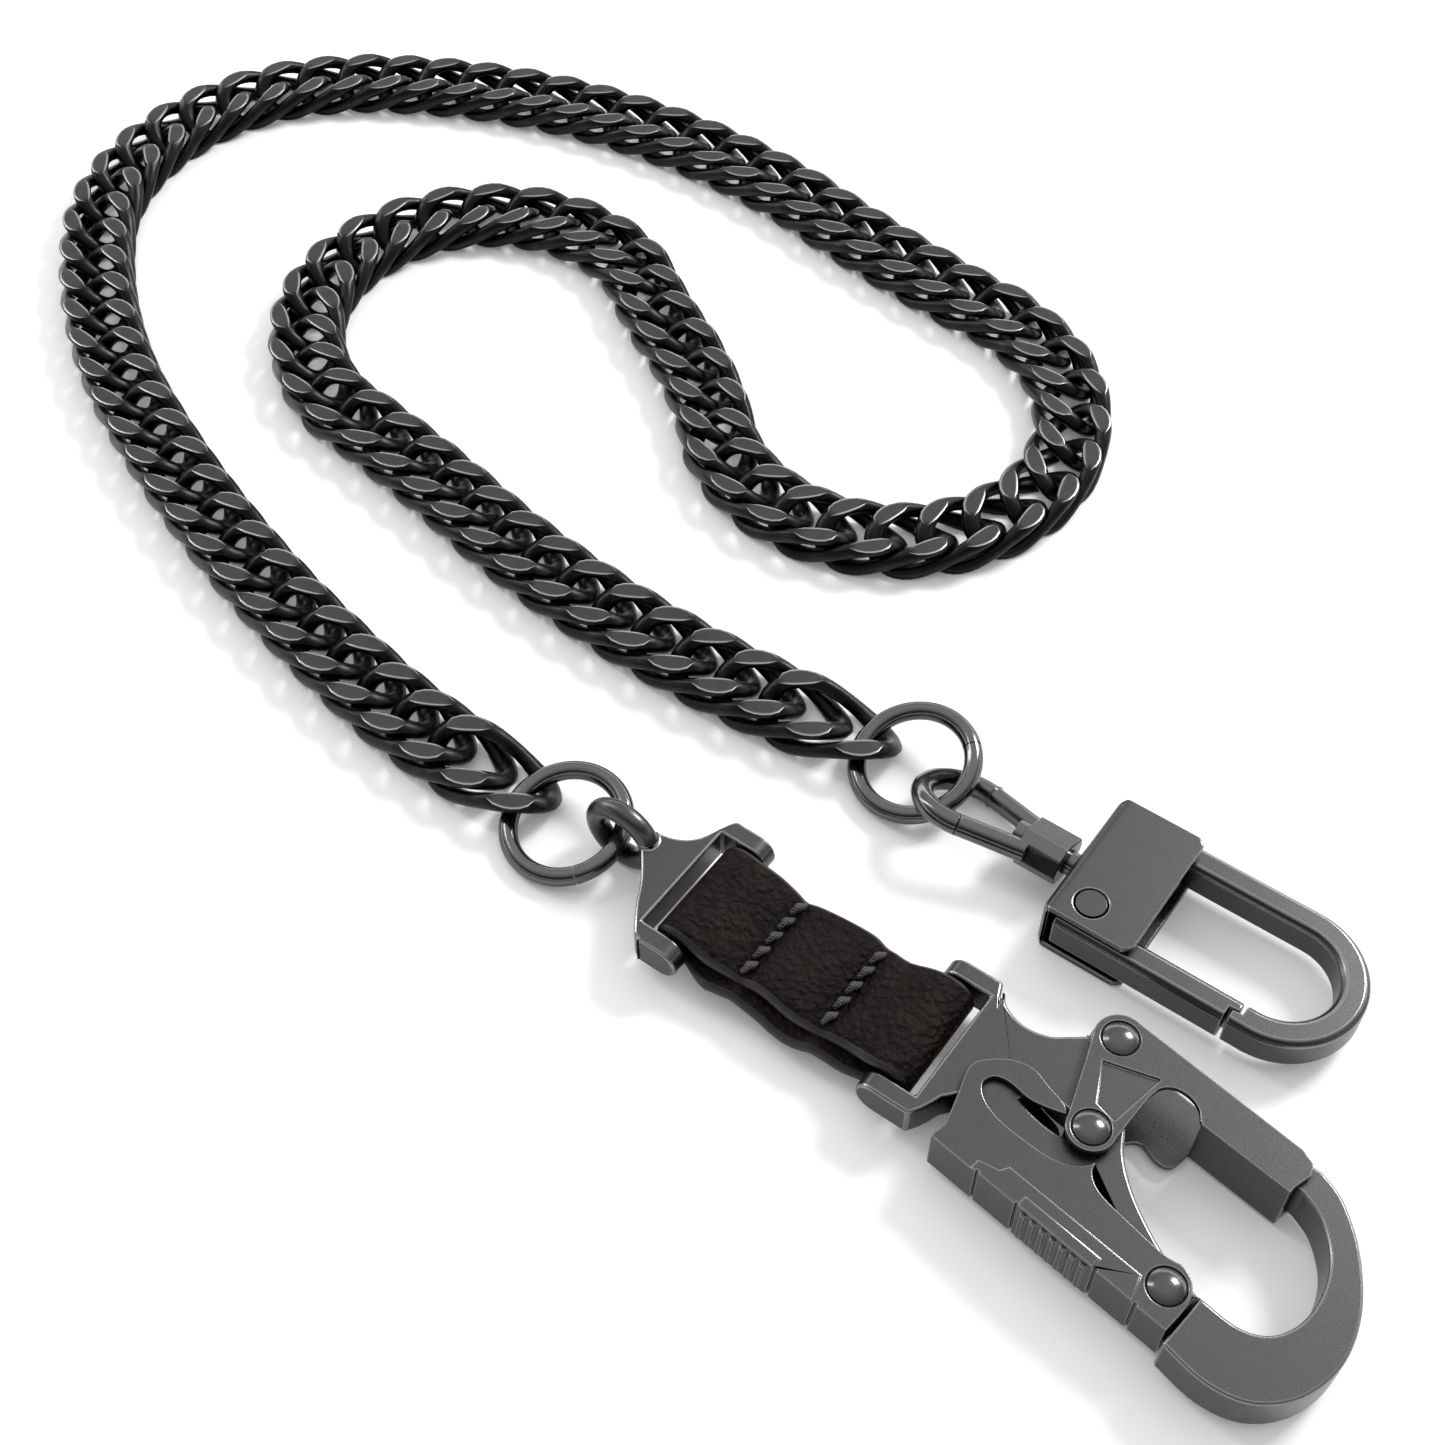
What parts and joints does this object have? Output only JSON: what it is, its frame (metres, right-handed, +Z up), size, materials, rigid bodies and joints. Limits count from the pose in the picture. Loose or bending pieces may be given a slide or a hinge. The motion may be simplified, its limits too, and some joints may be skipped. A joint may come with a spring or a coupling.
{
  "type": "wallet chain",
  "caption": "Double curb wallet chain with split rings, a leather strap carrying a double-action snap hook, and a swivel hook at the other end, laid in an S.",
  "frame": {"origin": "bottom centre of the box round the chain as it lies on the floor", "axes": "+Z up from the floor, +Y away from the viewer, +X to the viewer's right"},
  "size_m": [0.1709, 0.2232, 0.01],
  "materials": {
    "chain_metal": "satin dark nickel plate",
    "ring_metal": "polished dark nickel plate",
    "hook_metal": "satin gunmetal plate on zinc alloy",
    "rivet_metal": "satin",
    "spring_steel": "bare",
    "leather": "pebbled dark brown"
  },
  "bodies": {
    "chain_links_01": {"chain_links_01": "chain_metal"},
    "chain_links_02": {"chain_links_02": "chain_metal"},
    "chain_links_03": {"chain_links_03": "chain_metal"},
    "chain_links_04": {"chain_links_04": "chain_metal"},
    "chain_links_05": {"chain_links_05": "chain_metal"},
    "chain_links_06": {"chain_links_06": "chain_metal"},
    "chain_links_07": {"chain_links_07": "chain_metal"},
    "chain_links_08": {"chain_links_08": "chain_metal"},
    "chain_links_09": {"chain_links_09": "chain_metal"},
    "chain_links_10": {"chain_links_10": "chain_metal"},
    "chain_links_11": {"chain_links_11": "chain_metal"},
    "chain_links_12": {"chain_links_12": "chain_metal"},
    "chain_links_13": {"chain_links_13": "chain_metal"},
    "chain_links_14": {"chain_links_14": "chain_metal"},
    "chain_links_15": {"chain_links_15": "chain_metal"},
    "chain_links_16": {"chain_links_16": "chain_metal"},
    "chain_links_17": {"chain_links_17": "chain_metal"},
    "chain_links_18": {"chain_links_18": "chain_metal"},
    "chain_links_19": {"chain_links_19": "chain_metal"},
    "chain_links_20": {"chain_links_20": "chain_metal"},
    "ring_a": {"ring_strap_side": "ring_metal"},
    "fitting": {"strap_fitting": "hook_metal"},
    "strap": {"leather_strap": "leather"},
    "snap_hook": {"snap_hook_body": "hook_metal", "gate_pivot_rivet": "rivet_metal", "lever_pivot_rivet": "rivet_metal", "gate_spring": "spring_steel", "lever_spring": "spring_steel"},
    "gate": {"snap_gate": "hook_metal", "lock_pin_rivet": "rivet_metal"},
    "lever": {"lock_lever": "hook_metal"},
    "ring_b": {"ring_hook_side": "ring_metal"},
    "eye": {"swivel_eye": "ring_metal"},
    "hook": {"hook_housing": "hook_metal", "swivel_post": "rivet_metal", "hook_bar": "hook_metal", "hook_gate_rivet": "rivet_metal", "hook_bar_rivet": "rivet_metal", "hook_gate_spring": "spring_steel"},
    "hook_gate": {"hook_gate_bar": "hook_metal"}
  },
  "joints": [
    {"name": "chain_yaw_01", "type": "hinge", "parent": "chain_links_02", "child": "chain_links_01", "pos_m": [-0.03512, -0.01441, 0.0024], "axis": [0, 0, -1], "range_deg": [0, 12]},
    {"name": "chain_pitch_02", "type": "hinge", "parent": "chain_links_03", "child": "chain_links_02", "pos_m": [-0.05163, 0.00566, 0.0024], "axis": [-0.8044, -0.5941, 0], "range_deg": [0, 8]},
    {"name": "chain_yaw_03", "type": "hinge", "parent": "chain_links_04", "child": "chain_links_03", "pos_m": [-0.06912, 0.03301, 0.0024], "axis": [0, 0, -1], "range_deg": [0, 12]},
    {"name": "chain_pitch_04", "type": "hinge", "parent": "chain_links_05", "child": "chain_links_04", "pos_m": [-0.07932, 0.0637, 0.0024], "axis": [-0.9885, -0.1513, 0], "range_deg": [0, 7]},
    {"name": "chain_yaw_05", "type": "hinge", "parent": "chain_links_06", "child": "chain_links_05", "pos_m": [-0.07133, 0.094, 0.0024], "axis": [0, 0, -1], "range_deg": [0, 12]},
    {"name": "chain_yaw_06", "type": "hinge", "parent": "chain_links_07", "child": "chain_links_06", "pos_m": [-0.04885, 0.10572, 0.0024], "axis": [0, 0, -1], "range_deg": [0, 12]},
    {"name": "chain_pitch_07", "type": "hinge", "parent": "chain_links_08", "child": "chain_links_07", "pos_m": [-0.01681, 0.102, 0.0024], "axis": [0.2911, 0.9567, 0], "range_deg": [0, 7]},
    {"name": "chain_yaw_08", "type": "hinge", "parent": "chain_links_09", "child": "chain_links_08", "pos_m": [0.01228, 0.08782, 0.0024], "axis": [0, 0, -1], "range_deg": [0, 12]},
    {"name": "chain_pitch_09", "type": "hinge", "parent": "chain_links_10", "child": "chain_links_09", "pos_m": [0.0317, 0.07063, 0.0024], "axis": [0.7245, 0.6893, 0], "range_deg": [0, 8]},
    {"name": "chain_yaw_10", "type": "hinge", "parent": "chain_links_10", "child": "chain_links_11", "pos_m": [0.05509, 0.04808, 0.0024], "axis": [0, 0, 1], "range_deg": [0, 6]},
    {"name": "chain_yaw_11", "type": "hinge", "parent": "chain_links_11", "child": "chain_links_12", "pos_m": [0.06008, 0.01823, 0.0024], "axis": [0, 0, 1], "range_deg": [0, 5]},
    {"name": "chain_yaw_12", "type": "hinge", "parent": "chain_links_12", "child": "chain_links_13", "pos_m": [0.03931, 0.00489, 0.0024], "axis": [0, 0, 1], "range_deg": [0, 4]},
    {"name": "chain_yaw_13", "type": "hinge", "parent": "chain_links_13", "child": "chain_links_14", "pos_m": [0.01463, 0.02204, 0.0024], "axis": [0, 0, 1], "range_deg": [0, 6]},
    {"name": "chain_pitch_14", "type": "hinge", "parent": "chain_links_14", "child": "chain_links_15", "pos_m": [0.0039, 0.05263, 0.0024], "axis": [0.9307, 0.3657, 0], "range_deg": [0, 8]},
    {"name": "chain_yaw_15", "type": "hinge", "parent": "chain_links_15", "child": "chain_links_16", "pos_m": [-0.01966, 0.07173, 0.0024], "axis": [0, 0, 1], "range_deg": [0, 2]},
    {"name": "chain_yaw_16", "type": "hinge", "parent": "chain_links_16", "child": "chain_links_17", "pos_m": [-0.04152, 0.06025, 0.0024], "axis": [0, 0, 1], "range_deg": [0, 2]},
    {"name": "chain_yaw_17", "type": "hinge", "parent": "chain_links_17", "child": "chain_links_18", "pos_m": [-0.03897, 0.03019, 0.0024], "axis": [0, 0, 1], "range_deg": [0, 4]},
    {"name": "chain_pitch_18", "type": "hinge", "parent": "chain_links_18", "child": "chain_links_19", "pos_m": [-0.01635, 0.00688, 0.0024], "axis": [-0.7275, -0.6861, 0], "range_deg": [0, 8]},
    {"name": "chain_yaw_19", "type": "hinge", "parent": "chain_links_19", "child": "chain_links_20", "pos_m": [0.0029, -0.01055, 0.0024], "axis": [0, 0, 1], "range_deg": [0, 5]},
    {"name": "ring_strap_hinge", "type": "hinge", "parent": "chain_links_01", "child": "ring_a", "pos_m": [-0.00917, -0.03657, 0.00233], "axis": [-0.6505, -0.7301, -0.2092], "range_deg": [-20, 20]},
    {"name": "eye_hinge", "type": "hinge", "parent": "ring_a", "child": "fitting", "pos_m": [0.00258, -0.04405, 0.0035], "axis": [0.3586, 0.916, 0.1801], "range_deg": [-20, 20]},
    {"name": "strap_hinge", "type": "hinge", "parent": "fitting", "child": "strap", "pos_m": [0.01311, -0.0537, 0.0044], "axis": [0.5948, 0.8039, 0], "range_deg": [-20, 20]},
    {"name": "snap_hook_hinge", "type": "hinge", "parent": "strap", "child": "snap_hook", "pos_m": [0.03594, -0.07059, 0.0044], "axis": [0.5948, 0.8039, 0], "range_deg": [-20, 20]},
    {"name": "lock_lever", "type": "hinge", "parent": "snap_hook", "child": "lever", "pos_m": [0.05795, -0.10005, 0.0044], "axis": [0, 0, -1], "range_deg": [0, 8], "stiffness_Nm_per_rad": 0.02, "springref_deg": -8.59},
    {"name": "snap_gate", "type": "hinge", "parent": "snap_hook", "child": "gate", "pos_m": [0.05663, -0.07306, 0.0044], "axis": [0, 0, -1], "range_deg": [0, 28]},
    {"name": "ring_hook_hinge", "type": "hinge", "parent": "chain_links_20", "child": "ring_b", "pos_m": [0.03192, -0.02864, 0.00248], "axis": [-0.5571, -0.792, -0.2498], "range_deg": [-20, 20]},
    {"name": "swivel_eye_hinge", "type": "hinge", "parent": "ring_b", "child": "eye", "pos_m": [0.04171, -0.03863, 0.00355], "axis": [0.7754, 0.5691, 0.2736], "range_deg": [-20, 8]},
    {"name": "swivel", "type": "hinge", "parent": "eye", "child": "hook", "pos_m": [0.05542, -0.04859, 0.004], "axis": [0.809, -0.5878, 0], "continuous": true},
    {"name": "hook_gate", "type": "hinge", "parent": "hook", "child": "hook_gate", "pos_m": [0.05548, -0.05599, 0.004], "axis": [0, 0, 1], "range_deg": [0, 22], "stiffness_Nm_per_rad": 0.01, "springref_deg": -17.19}
  ],
  "couplings": [
    {"joint": "snap_gate", "follows": "lock_lever", "ratio": 3.5}
  ]
}
